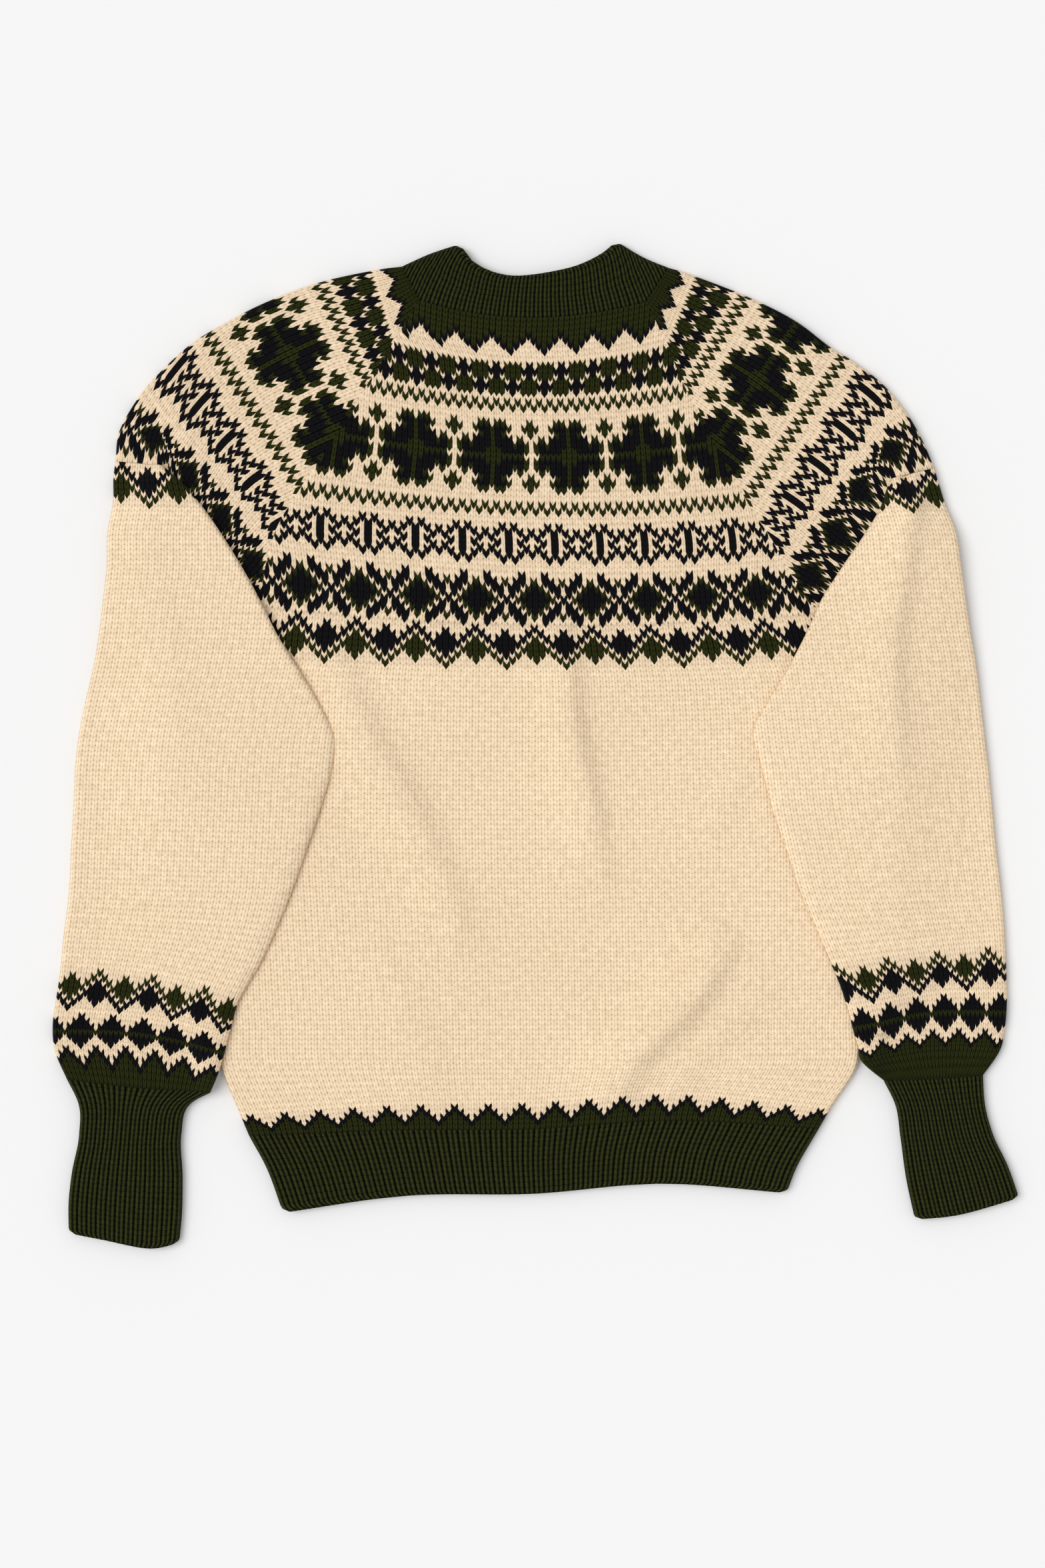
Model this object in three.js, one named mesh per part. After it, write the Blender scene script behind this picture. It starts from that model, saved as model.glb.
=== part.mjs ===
import * as THREE from "three";

// Fair isle jumper laid flat, seen from above. Millimetres, +Z up, the neck toward +Y,
// X = 0 at the middle of the outline, Y = 0 at half of its length, Z = 0 on the floor.

const WALL = 3.0; // knitted cloth
const AIR = 1.0; // left inside each flattened tube
const LAID = 2 * WALL + AIR; // height of a flattened tube
const SEAM = 0.3; // between neighbouring pieces
const ROLL = 4.0; // width of a rolled side edge
const RIB = 0.8; // how far a knit rib stands over a purl furrow
const OVER = LAID + 0.8; // floor of a sleeve where it lies on the body
const CLIMB = {
  full: [2.5, 9], // outside the edge below, still at full height: where the sleeve starts, lower down
  foot: [10, 22], // outside the edge below, down on the floor
  length: 50, // from the start to lower down
};

const CREAM = 0xe6d6ba;
const GREEN = 0x28321a;

// Rows of the yoke: fold, points of the sleeve part, raglan corner, middle, corner, points, fold.
const YOKE = [
  [[-92.7, 329.6], [], [-80.7, 306], [-4.4, 294], [76, 305], [], [91.3, 328.7]],
  [[-107, 327.8], [], [-94, 284], [-5.3, 270], [86.7, 282], [], [103.7, 325]],
  [[-153, 317.6], [], [-118, 245.4], [-4.4, 231], [105, 241], [], [147.4, 308]],
  [[-194, 301.5], [], [-139, 211.4], [-3.5, 195.7], [124, 205], [], [182, 290]],
  [[-216, 289.6], [], [-155, 188], [-3.5, 173], [138, 180], [], [203.6, 273.5]],
  [[-232, 280.4], [], [-165.4, 172], [-3.5, 158], [147.4, 163.5], [], [216.4, 265.7]],
  [[-254, 262], [], [-178, 150.7], [-3, 136], [162.6, 140.5], [], [239.4, 248]],
  [[-275.8, 237], [[-262, 222]], [-185, 128.6], [-2, 113.4], [174, 119], [[247, 216]], [257.8, 225]],
  [
    [-287.3, 216],
    [[-261, 212], [-240, 184], [-218, 156]],
    [-189.3, 112.5],
    [-1.2, 98.2],
    [183.3, 106.5],
    [[242, 202], [222, 174], [205, 139]],
    [267, 208.2],
  ],
  [
    [-290, 195.3],
    [[-257, 192], [-232, 150.7], [-213, 122]],
    [-198, 95.5],
    [-0.7, 81.7],
    [195.7, 90],
    [[244.5, 183], [238, 150], [218, 116]],
    [274.4, 190.7],
  ],
];

// Rows of the body: left edge, middle, right edge.
const BODY = [
  [[-198, 95.5], [-0.7, 81.7], [195.7, 90]],
  [[-218.3, 61], [-0.7, 51.8], [220, 58.7]],
  [[-222, 31], [-0.7, 23.7], [225, 30]],
  [[-222, -15], [-0.7, -19.6], [225, -15]],
  [[-221.5, -50], [-0.7, -53], [225, -50]],
  [[-221, -84], [-0.7, -86], [225, -84]],
  [[-220, -118], [-0.7, -120], [224.5, -118]],
  [[-219, -153], [-0.7, -154], [224, -153]],
  [[-218, -194], [-0.7, -194], [223, -193]],
  [[-217, -222], [-0.7, -221], [221, -222]],
  [[-208, -245], [-0.7, -243], [207.7, -242.7]],
];
const HEM_TOP = [[-198, -269], [-101, -265.2], [-2, -264.3], [94.5, -258.3], [195, -264]];
const HEM_MIDDLE = [[-184.7, -294], [-94, -288.2], [-2, -286.8], [90, -280.8], [180, -290]];
const HEM_END = [[-174.6, -322], [-89.5, -310.3], [-2, -308.9], [85.3, -302], [172.7, -308.4]];

// Rows of the sleeves: outer edge, inner edge.
const SLEEVE_LEFT = [
  [[-290, 195.3], [-257, 192]],
  [[-291.4, 183.8], [-245, 182]],
  [[-291.4, 169], [-232, 167]],
  [[-295, 146], [-217, 146]],
  [[-295.6, 123], [-202, 122]],
  [[-298.3, 100], [-190, 100]],
  [[-301, 77], [-178, 76]],
  [[-305, 54], [-164, 53]],
  [[-310.3, 31], [-150, 29.7]],
  [[-315.3, 5.8], [-138.7, 4.4]],
  [[-317.6, -15], [-140.5, -17]],
  [[-318.6, -38], [-147, -40]],
  [[-320.4, -70], [-158.5, -74]],
  [[-322, -102.4], [-170.4, -107]],
  [[-326, -134.6], [-184, -139]],
  [[-328.2, -157.6], [-196, -164.5]],
  [[-331, -176], [-205.4, -183]],
  [[-333.3, -194], [-212, -204.5]],
  [[-331, -213], [-216, -223]],
  [[-323.6, -230], [-224, -239]],
];
const SLEEVE_RIGHT = [
  [[274.4, 190.7], [244.5, 183]],
  [[277, 182], [241.3, 177]],
  [[281.3, 168], [237, 164.5]],
  [[288.7, 148], [227, 147]],
  [[292.3, 125], [211.4, 124]],
  [[295.6, 102], [196, 100]],
  [[299, 79.4], [185.6, 77]],
  [[303, 56.4], [173.7, 54]],
  [[306, 33.4], [160, 31]],
  [[309, 8], [149, 9]],
  [[311.7, -15], [154.8, -15]],
  [[314, -38], [161, -40]],
  [[317, -70], [172, -72.5]],
  [[320.4, -100], [182, -102.4]],
  [[323, -130], [195.7, -134.6]],
  [[324, -153], [206, -157.6]],
  [[324.5, -176], [213, -179.6]],
  [[322.7, -196.7], [218.3, -199]],
  [[316.2, -216.4], [225, -216.4]],
  [[308, -227.5], [239.4, -231]],
];
const CUFF_LEFT = [
  [[-323.6, -230], [-273, -236], [-224, -239]],
  [[-316.2, -245], [-277, -247], [-238, -247]],
  [[-315, -268], [-280, -269], [-244.5, -268]],
  [[-320, -294.6], [-282, -297], [-243.6, -298]],
  [[-322.2, -314], [-283, -319], [-244, -321]],
  [[-322.2, -336], [-299, -340.5], [-267, -346.6], [-246, -343]],
];
const CUFF_RIGHT = [
  [[308, -227.5], [273, -230], [239.4, -231]],
  [[309, -245], [278, -247], [247.2, -247]],
  [[314.4, -267], [283, -269], [251, -270]],
  [[324.5, -288.7], [290, -293], [254.6, -296.5]],
  [[332.8, -311.7], [292.3, -323.2], [261, -326.8]],
];
const COLLAR = [
  [[-52.7, 345.2], [-41.2, 331], [-16, 323], [21, 328], [43, 337], [55.4, 347]],
  [[-73.4, 338.3], [-65.5, 323], [-34, 310.5], [28, 310], [62.3, 321], [73.8, 336]],
];

// Where the yoke and the body end below each sleeve, from the top down.
const BELOW_LEFT = [
  [-257, 192], [-232, 150.7], [-213, 122], [-198, 95.5], [-218.3, 61], [-222, 31], [-222, -15],
  [-221, -84], [-219, -153], [-218, -194], [-217, -222], [-208, -245], [-198, -269],
];
const BELOW_RIGHT = [
  [244.5, 183], [238, 150], [218, 116], [195.7, 90], [220, 58.7], [225, 30], [225, -15],
  [225, -84], [224, -153], [223, -193], [221, -222], [207.7, -242.7], [195, -264],
];

// Soft folds in the upper layer: height, half width, then the line they follow.
const FOLDS = {
  body: [
    [2.4, 13, [-112, 31], [-94, -6], [-71, -29], [-53, -61], [-39, -98], [-27, -130]],
    [2.0, 13, [35, 50], [37, 17], [42, -15], [46, -52], [51, -84]],
    [1.8, 13, [131, -139], [117, -167], [94, -194], [71, -217], [58, -240]],
  ],
  yoke: [[1.6, 12, [-246, 245], [-240, 204]]],
  sleeve_left: [[2.0, 14, [-272, 150], [-264, 100], [-252, 60], [-246, 20]]],
  sleeve_right: [[2.4, 14, [269, 140], [262, 90], [256, 40], [254, -10], [257, -50], [251, -120]]],
};

const point = ([x, y]) => new THREE.Vector2(x, y);

// A smooth line through the points, as a polyline.
function smooth(points) {
  if (points.length < 3) return points.map(point);
  return new THREE.SplineCurve(points.map(point)).getPoints(12 * (points.length - 1));
}

// The point at a share of the line's length.
function along(line, share) {
  const lengths = [0];
  for (let i = 1; i < line.length; i++) {
    lengths.push(lengths[i - 1] + line[i].distanceTo(line[i - 1]));
  }
  const want = share * lengths.at(-1);
  let i = 1;
  while (i < line.length - 1 && lengths[i] < want) i++;
  const t = (want - lengths[i - 1]) / (lengths[i] - lengths[i - 1]);
  return line[i - 1].clone().lerp(line[i], t);
}

// Points along a line: the ends, one a roll's width in where that end is an edge, even between.
function spread(line, count, firstEdge, lastEdge) {
  let length = 0;
  for (let i = 1; i < line.length; i++) length += line[i].distanceTo(line[i - 1]);
  const from = firstEdge ? ROLL / length : 0;
  const to = lastEdge ? 1 - ROLL / length : 1;
  const shares = [];
  for (let i = 0; i <= count; i++) shares.push(from + ((to - from) * i) / count);
  if (firstEdge) shares.unshift(0);
  if (lastEdge) shares.push(1);
  return shares.map((share) => along(line, share));
}

// The sleeve part of a yoke row, from its fold to the corner, with a point where the sleeve starts.
function sleevePart(fold, through, corner, count) {
  const line = [fold, ...through, corner].map(point);
  let length = 0;
  for (let i = 1; i < line.length; i++) length += line[i].distanceTo(line[i - 1]);
  const turn = through.length ? line[0].distanceTo(line[1]) / length : 0.2;
  const roll = ROLL / length;
  const shares = [0, roll, (roll + turn) / 2];
  for (let i = 0; i <= count; i++) shares.push(turn + ((1 - turn) * i) / count);
  return shares.map((share) => along(line, share));
}

// One row of the yoke, or of the collar's foot, which goes over two corners.
function cornered([foldL, throughL, cornerL, middle, cornerR, throughR, foldR], side, front) {
  return [
    ...sleevePart(foldL, throughL, cornerL, side),
    ...spread(bowed([cornerL, middle, cornerR]), front, false, false).slice(1),
    ...sleevePart(foldR, throughR, cornerR, side).reverse().slice(1),
  ];
}

// A parabola through three points.
function bowed([a, b, c]) {
  const [start, middle, end] = [point(a), point(b), point(c)];
  const line = [];
  for (let i = 0; i <= 24; i++) {
    const t = i / 12 - 1;
    const bend = start.clone().add(end).multiplyScalar(0.5).sub(middle).multiplyScalar(t * t);
    const slope = end.clone().sub(start).multiplyScalar(0.5 * t);
    line.push(middle.clone().add(slope).add(bend));
  }
  return line;
}

function distanceTo(line, x, y) {
  const p = new THREE.Vector2(x, y);
  let least = Infinity;
  for (let i = 1; i < line.length; i++) {
    const [a, b] = [point(line[i - 1]), point(line[i])];
    const ab = b.clone().sub(a);
    const t = THREE.MathUtils.clamp(p.clone().sub(a).dot(ab) / ab.lengthSq(), 0, 1);
    least = Math.min(least, p.distanceTo(a.add(ab.multiplyScalar(t))));
  }
  return least;
}

function foldHeight(folds, x, y) {
  let height = 0;
  for (const [high, half, ...line] of folds) {
    height += high * Math.exp(-((distanceTo(line, x, y) / half) ** 2));
  }
  return height;
}

// Height of a sleeve's underside: on the floor outside, on the body or yoke inside its edge.
function resting(below, side) {
  return (x, y) => {
    let i = 1;
    while (i < below.length - 1 && below[i][1] > y) i++;
    const [a, b] = [below[i - 1], below[i]];
    const t = THREE.MathUtils.clamp((a[1] - y) / (a[1] - b[1]), 0, 1);
    const inside = side * (a[0] + (b[0] - a[0]) * t - x) > 0;
    const gap = inside ? 0 : distanceTo(below, x, y);
    const down = THREE.MathUtils.clamp((below[0][1] - y) / CLIMB.length, 0, 1);
    const full = THREE.MathUtils.lerp(...CLIMB.full, down);
    const foot = THREE.MathUtils.lerp(...CLIMB.foot, down);
    return OVER * (1 - THREE.MathUtils.smoothstep(gap, full, foot));
  };
}

// A flattened knitted tube through rows of plan points. Open at both ends, one closed solid.
function tube(name, colour, rows, { floor = () => 0, folds = [], ribs = false } = {}) {
  const last = rows[0].length - 1;
  const positions = [];
  const add = (p, z) => positions.push(p.x, p.y, z);
  const top = (p) => floor(p.x, p.y) + LAID + foldHeight(folds, p.x, p.y);
  for (const row of rows) {
    for (const inner of [false, true]) {
      const skin = inner ? WALL : 0;
      const edge = (from, to) => {
        const at = row[from];
        const p = inner ? at.clone().lerp(row[to], WALL / at.distanceTo(row[to])) : at;
        add(p, floor(at.x, at.y) + LAID / 2);
      };
      edge(0, 1);
      for (let i = 1; i < last; i++) {
        const furrow = ribs && !inner && i % 2 ? RIB : 0;
        add(row[i], top(row[i]) - skin - furrow);
      }
      edge(last, last - 1);
      for (let i = last - 1; i > 0; i--) add(row[i], floor(row[i].x, row[i].y) + skin);
    }
  }
  const loop = 2 * last;
  const at = (row, inner, i) => row * 2 * loop + (inner ? loop : 0) + (i % loop);
  const faces = [];
  const quad = (a, b, c, d) => faces.push(a, b, c, a, c, d);
  for (let i = 0; i < loop; i++) {
    for (let j = 0; j < rows.length - 1; j++) {
      quad(at(j, false, i), at(j + 1, false, i), at(j + 1, false, i + 1), at(j, false, i + 1));
      quad(at(j, true, i), at(j, true, i + 1), at(j + 1, true, i + 1), at(j + 1, true, i));
    }
    const end = rows.length - 1;
    quad(at(0, false, i), at(0, false, i + 1), at(0, true, i + 1), at(0, true, i));
    quad(at(end, false, i), at(end, true, i), at(end, true, i + 1), at(end, false, i + 1));
  }
  const geometry = new THREE.BufferGeometry();
  geometry.setAttribute("position", new THREE.Float32BufferAttribute(positions, 3));
  geometry.setIndex(faces);
  geometry.computeVertexNormals();
  const material = new THREE.MeshStandardMaterial({ color: colour, roughness: 0.95 });
  material.name = `${name}_wool`;
  const mesh = new THREE.Mesh(geometry, material);
  mesh.name = name;
  return mesh;
}

// Half a seam taken off the first and the last row, toward the piece's own middle.
function seamed(rows, first = SEAM / 2, last = SEAM / 2) {
  const trim = (row, next, by) =>
    row.map((p, i) => p.clone().add(next[i].clone().sub(p).setLength(by)));
  const made = rows.slice();
  if (first) made[0] = trim(rows[0], rows[1], first);
  if (last) made[rows.length - 1] = trim(rows.at(-1), rows.at(-2), last);
  return made;
}

// Heights of the two sleeves' undersides
const onLeft = resting(BELOW_LEFT, -1);
const onRight = resting(BELOW_RIGHT, 1);

// Plan rows of each piece
const plain = (line, count) => spread(line, count, true, true);
const yokeRows = YOKE.map((row) => cornered(row, 7, 16));
const bodyRows = BODY.map((row) => plain(bowed(row), 28));
const hemTop = smooth(HEM_TOP);
bodyRows.push(plain(hemTop, 28));
const hemRows = [hemTop, smooth(HEM_MIDDLE), smooth(HEM_END)].map((line) => plain(line, 103));
const leftToRight = (row) => (row[0][0] < row.at(-1)[0] ? row : row.slice().reverse());
const sleeveRows = (table) => table.map((row) => plain(smooth(leftToRight(row)), 13));
const cuffRows = (table) => table.map((row) => plain(smooth(leftToRight(row)), 23));
const foot = cornered(YOKE[0], 7, 16);
const collarRows = [...COLLAR.map(smooth), foot].map((line) => plain(line, 55));

// The jumper
const jumper = new THREE.Group();
jumper.name = "fair_isle_jumper";
jumper.add(
  tube("collar", GREEN, seamed(collarRows, 0), { ribs: true }),
  tube("yoke", CREAM, seamed(yokeRows), { folds: FOLDS.yoke }),
  tube("body", CREAM, seamed(bodyRows), { folds: FOLDS.body }),
  tube("hem_rib", GREEN, seamed(hemRows, SEAM / 2, 0), { ribs: true }),
  tube("sleeve_left", CREAM, seamed(sleeveRows(SLEEVE_LEFT)), {
    floor: onLeft,
    folds: FOLDS.sleeve_left,
  }),
  tube("sleeve_right", CREAM, seamed(sleeveRows(SLEEVE_RIGHT)), {
    floor: onRight,
    folds: FOLDS.sleeve_right,
  }),
  tube("cuff_left", GREEN, seamed(cuffRows(CUFF_LEFT), SEAM / 2, 0), {
    floor: onLeft,
    ribs: true,
  }),
  tube("cuff_right", GREEN, seamed(cuffRows(CUFF_RIGHT), SEAM / 2, 0), {
    floor: onRight,
    ribs: true,
  }),
);

export default jumper;
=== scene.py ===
"""Fair isle jumper laid flat: knitted pieces, stitch by stitch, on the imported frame."""

import bmesh
import bpy
import numpy as np
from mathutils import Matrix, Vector


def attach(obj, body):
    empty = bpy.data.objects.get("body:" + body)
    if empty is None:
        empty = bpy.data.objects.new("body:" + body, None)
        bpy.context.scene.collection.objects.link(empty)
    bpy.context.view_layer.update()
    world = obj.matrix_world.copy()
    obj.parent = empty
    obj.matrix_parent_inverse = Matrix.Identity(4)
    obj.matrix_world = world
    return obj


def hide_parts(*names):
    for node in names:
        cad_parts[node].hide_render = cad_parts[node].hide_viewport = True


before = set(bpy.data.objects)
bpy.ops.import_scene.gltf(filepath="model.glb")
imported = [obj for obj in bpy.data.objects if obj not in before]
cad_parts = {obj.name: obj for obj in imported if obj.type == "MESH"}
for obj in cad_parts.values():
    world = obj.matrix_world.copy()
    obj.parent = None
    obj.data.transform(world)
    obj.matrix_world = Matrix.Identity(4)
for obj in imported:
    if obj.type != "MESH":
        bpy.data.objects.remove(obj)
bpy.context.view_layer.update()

MM = 0.001
WALL = 3.0  # thickness of the cloth
LAID = 7.0  # height of a flattened tube
ROLL = 4.0  # width of a rolled side edge
OVER = LAID + 0.8  # underside of a sleeve where it lies on the body
SEAM = 0.15  # between neighbouring pieces
CORNER = 4.0  # rounding of the ribs' free corners
ROW = 3.5  # mean height of a row
RIB_ROW = 3.6  # the same near a rib's free edge
UNEVEN = 0.35  # half the height of the laid cloth's slight waves
TOUCH = 0.02  # a point this few stitches from a side edge lies on it
FAR = 1e3  # distance to an edge that isn't there

# Colours of wool, in the order of COLOURS below
CREAM, GREEN, BLACK = 0, 1, 2
FURROW_SHADE = 3  # painted shade: the ribs' green, darker where the purl stitches sink between the ribs
STRANDED = 4  # cream over the strands behind it
RIDGE_LIGHT = 5  # painted light: the ribs' green, lighter on the raised strands
SPREAD = [0, 1, 1.7, 1, 0]  # how much a stitch spreads over its neighbours, by colour

# Heights across a stitch and across a rib, from groove to groove: two strands side by side
STITCH_FORM = [0, 1, 0.35, 1, 0]
RIB_FORM = [0, 0.6, 1, 0.8, 0.35, 0.8, 1, 0.6, 0]
STITCH_POINT = 0.85  # how far a stitch's V hangs, in rows
RIB_POINT = 0.8

# Plan tables, in mm, as in the part. Yoke: row, left fold, points over the sleeve, corner, middle,
# corner, points over the right sleeve, right fold
YOKE = [
    (-6, (-92.7, 329.6), [], (-80.7, 306), (-4.4, 294), (76, 305), [], (91.3, 328.7)),
    (0.75, (-107, 327.8), [], (-94, 284), (-5.3, 270), (86.7, 282), [], (103.7, 325)),
    (11.65, (-153, 317.6), [], (-118, 245.4), (-4.4, 231), (105, 241), [], (147.4, 308)),
    (21.15, (-194, 301.5), [], (-139, 211.4), (-3.5, 195.7), (124, 205), [], (182, 290)),
    (27.15, (-216, 289.6), [], (-155, 188), (-3.5, 173), (138, 180), [], (203.6, 273.5)),
    (31.15, (-232, 280.4), [], (-165.4, 172), (-3.5, 158), (147.4, 163.5), [], (216.4, 265.7)),
    (37.15, (-254, 262), [], (-178, 150.7), (-3, 136), (162.6, 140.5), [], (239.4, 248)),
    (
        43.05, (-275.8, 237), [(-262, 222), (-226, 187)], (-185, 128.6), (-2, 113.4),
        (174, 119), [(245, 217), (211, 177)], (257.8, 225),
    ),
    (
        46.9, (-287.3, 216), [(-261, 212), (-240, 184), (-218, 156)], (-189.3, 112.5),
        (-1.2, 98.2), (183.3, 106.5), [(242, 202), (222, 174), (205, 139)], (267, 208.2),
    ),
    (
        51, (-290, 195.3), [(-257, 192), (-232, 150.7), (-213, 122)], (-198, 95.5),
        (-0.7, 81.7), (195.7, 90), [(244.5, 183), (238, 150), (218, 116)], (274.4, 190.7),
    ),
]

# Body: row, left edge, middle, right edge
BODY = [
    (0, (-198, 95.5), (-0.7, 81.7), (195.7, 90)),
    (8.25, (-218.3, 61), (-0.7, 51.8), (220, 58.7)),
    (16.4, (-222, 31), (-0.7, 23.7), (225, 30)),
    (29.2, (-222, -15), (-0.7, -19.6), (225, -15)),
    (39.2, (-221.5, -50), (-0.7, -53), (225, -50)),
    (49, (-221, -84), (-0.7, -86), (225, -84)),
    (59.1, (-220, -118), (-0.7, -120), (224.5, -118)),
    (69.2, (-219, -153), (-0.7, -154), (224, -153)),
    (81.2, (-218, -194), (-0.7, -194), (223, -193)),
    (89.2, (-217, -222), (-0.7, -221), (221, -222)),
]
ZIGZAG_TOP = [(-205.3, -251.5), (-101, -245), (-1, -243), (94.5, -237.5), (204.5, -248)]
HEM_TOP = [(-198, -269), (-101, -265.2), (-2, -264.3), (94.5, -258.3), (195, -264)]
HEM = [
    (0, HEM_TOP),
    (7, [(-184.7, -294), (-94, -288.2), (-2, -286.8), (90, -280.8), (180, -290)]),
    (13, [(-174.6, -322), (-89.5, -310.3), (-2, -308.9), (85.3, -302), (172.7, -308.4)]),
]

# Sleeves: row, stitches across the upper layer, left end, right end
SLEEVE_LEFT = [
    (0, 9.3, (-290, 195.3), (-257, 192)),
    (2.9, 12.4, (-291.4, 183.8), (-245, 182)),
    (6.6, 14.8, (-291.4, 169), (-232, 167)),
    (13.2, 18.5, (-295, 146), (-217, 146)),
    (20, 22.0, (-295.6, 123), (-202, 122)),
    (26.9, 25.4, (-298.3, 100), (-190, 100)),
    (33.7, 28.8, (-301, 77), (-178, 76)),
    (40.5, 33.0, (-305, 54), (-164, 53)),
    (47.4, 37.5, (-310.3, 31), (-150, 29.7)),
    (54.8, 41.3, (-315.3, 5.8), (-138.7, 4.4)),
    (61, 41.4, (-317.6, -15), (-140.5, -17)),
    (67.9, 40.2, (-318.6, -38), (-147, -40)),
    (77.4, 38.0, (-320.4, -70), (-158.5, -74)),
    (87, 36.0, (-322, -102.4), (-170.4, -107)),
    (96.5, 34.5, (-326, -134.6), (-257, -139), (-189, -149)),
    (103.3, 34.0, (-328.2, -157.6), (-266, -163), (-204.8, -177)),
    (108.6, 34.0, (-331, -176), (-270, -181), (-209.6, -194)),
    (113.7, 34.0, (-333.3, -194), (-273, -197), (-213.6, -209)),
    (119.5, 34.0, (-331, -213), (-274, -214), (-218.5, -226)),
    (124, 34.0, (-323.6, -230), (-273, -236), (-224, -239)),
]
SLEEVE_RIGHT = [
    (0, 8.6, (244.5, 183), (274.4, 190.7)),
    (2.3, 9.8, (241.3, 177), (277, 182)),
    (6, 11.5, (237, 164.5), (281.3, 168)),
    (11.7, 14.8, (227, 147), (288.7, 148)),
    (18.6, 19.0, (211.4, 124), (292.3, 125)),
    (25.4, 23.3, (196, 100), (295.6, 102)),
    (32.2, 26.6, (185.6, 77), (299, 79.4)),
    (39.1, 30.2, (173.7, 54), (303, 56.4)),
    (45.9, 34.2, (160, 31), (306, 33.4)),
    (53.5, 37.4, (149, 9), (309, 8)),
    (60.4, 36.8, (154.8, -15), (311.7, -15)),
    (67.3, 36.0, (161, -40), (314, -38)),
    (76.9, 35.0, (172, -72.5), (317, -70)),
    (85.8, 34.4, (182, -102.4), (320.4, -100)),
    (94.8, 34.0, (199.5, -143), (262, -136), (323, -131)),
    (101.3, 34.0, (209.5, -167), (268, -158), (324, -155)),
    (107.5, 34.0, (215.8, -188), (272, -178), (324.5, -177)),
    (113.1, 34.0, (221, -207), (273, -197), (322.7, -197)),
    (119, 34.0, (228, -222), (273, -216.5), (316.2, -216.4)),
    (121, 34.0, (239.4, -231), (273, -230), (308, -227.5)),
]
CUFF_LEFT = [
    (0, [(-323.6, -230), (-273, -236), (-224, -239)]),
    (3.5, [(-316.2, -245), (-277, -247), (-238, -247)]),
    (10, [(-315, -268), (-280, -269), (-244.5, -268)]),
    (18, [(-320, -294.6), (-282, -297), (-243.6, -298)]),
    (24, [(-322.2, -314), (-283, -319), (-244, -321)]),
    (31, [(-322.2, -336), (-299, -340.5), (-267, -346.6), (-246, -343)]),
]
CUFF_RIGHT = [
    (0, [(239.4, -231), (273, -230), (308, -227.5)]),
    (4.5, [(247.2, -247), (278, -247), (309, -245)]),
    (11, [(251, -270), (283, -269), (314.4, -267)]),
    (18.5, [(254.6, -296.5), (290, -293), (324.5, -288.7)]),
    (28, [(261, -326.8), (292.3, -323.2), (332.8, -311.7)]),
]
COLLAR = [
    (0, [(-52.7, 345.2), (-41.2, 331), (-16, 323), (21, 328), (43, 337), (55.4, 347)]),
    (4.5, [(-73.4, 338.3), (-65.5, 323), (-34, 310.5), (28, 310), (62.3, 321), (73.8, 336)]),
]

# Inside this edge a sleeve lies on the yoke or body, outside it on the floor. From the top down
BELOW_LEFT = [
    (-257, 192), (-235, 150.7), (-222, 31), (-222, -15), (-221, -84), (-219, -153),
    (-218, -194), (-217, -222), (-208, -245), (-198, -269),
]
BELOW_RIGHT = [
    (244.5, 183), (241, 150), (225, 30), (225, -15), (225, -84), (224, -153),
    (223, -193), (221, -222), (207.7, -242.7), (195, -264),
]

# Soft folds of the upper layer: height, half width, line. The yoke takes all that reach it
FOLDS = {
    "body": [
        (
            7.0, 12,
            [(-152, 90), (-130, 38), (-114, 0), (-95, -29), (-79, -61), (-63, -98), (-48, -145)],
        ),
        (7.8, 10, [(13, 104), (20, 50), (24, 17), (30, -15), (38, -52), (47, -100)]),
        (11.0, 12, [(136, -125), (112, -167), (88, -194), (66, -217), (46, -258)]),
        (3.0, 11, [(166, -160), (136, -190), (110, -214), (86, -256)]),
        (2.0, 10, [(-120, -130), (-88, -180), (-64, -235)]),
        (2.0, 10, [(164, 52), (150, 5), (132, -40), (114, -84)]),
    ],
    "sleeve_left": [
        (2.6, 10, [(-252, 275), (-246, 245), (-240, 204), (-238, 170)]),
        (1.4, 12, [(-272, 160), (-262, 100), (-250, 60), (-240, 0)]),
    ],
    "sleeve_right": [
        (6.6, 9.5, [(266, 236), (257, 168), (251, 120), (244, 72), (243, 40), (247, -24)]),
        (2.6, 14, [(243, 70), (247, 8), (246, -40), (241, -150)]),
    ],
}

# Charts, one repeat's half from its middle stitch outward. G green, K black, . cream
ZIGZAG_DOWN = ["GGGK", "GGK.", "GK..", "K..."]
ZIGZAG_UP = ["...K", "..KG", ".KGG", "KGGG"]
BLOCKS = ["GG.K", "GGKK", "GG.K", "K.GG", "KKGG", "K.GG"]
STARS = [
    ".GG....G", "GKKG..GG", "GKG....G", "GKKK.G..", "GKKKGKG.", "GGKKKKG.", "GGGGGG..",
    "GGKKKKG.", "GKKKGKG.", "GKKK.G..", "GKG....G", "GKKG..GG", ".GG....G",
]
LATTICE = [".K...", "K.K.K", "K..K.", "K.K..", "K..K.", "K.K.K", ".K..."]
DIAMONDS = [
    "..K...", "G.KK.G", "KG.KK.", "KKG.K.", "KKKG.K", "KKG.K.", "KG.KK.", "G.KK.G", "..K...",
]
POINTS = ["K.....", ".K...K", "G.K.KK", "GG.KKK", "GGG.KK", "GG.G.K", "G...G.", ".....G"]
BEADS = ["K...", "KK..", "KKK.", "GGGG", "KKK.", "KK..", "K..."]
LETTERS = {".": CREAM, "G": GREEN, "K": BLACK}

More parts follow.
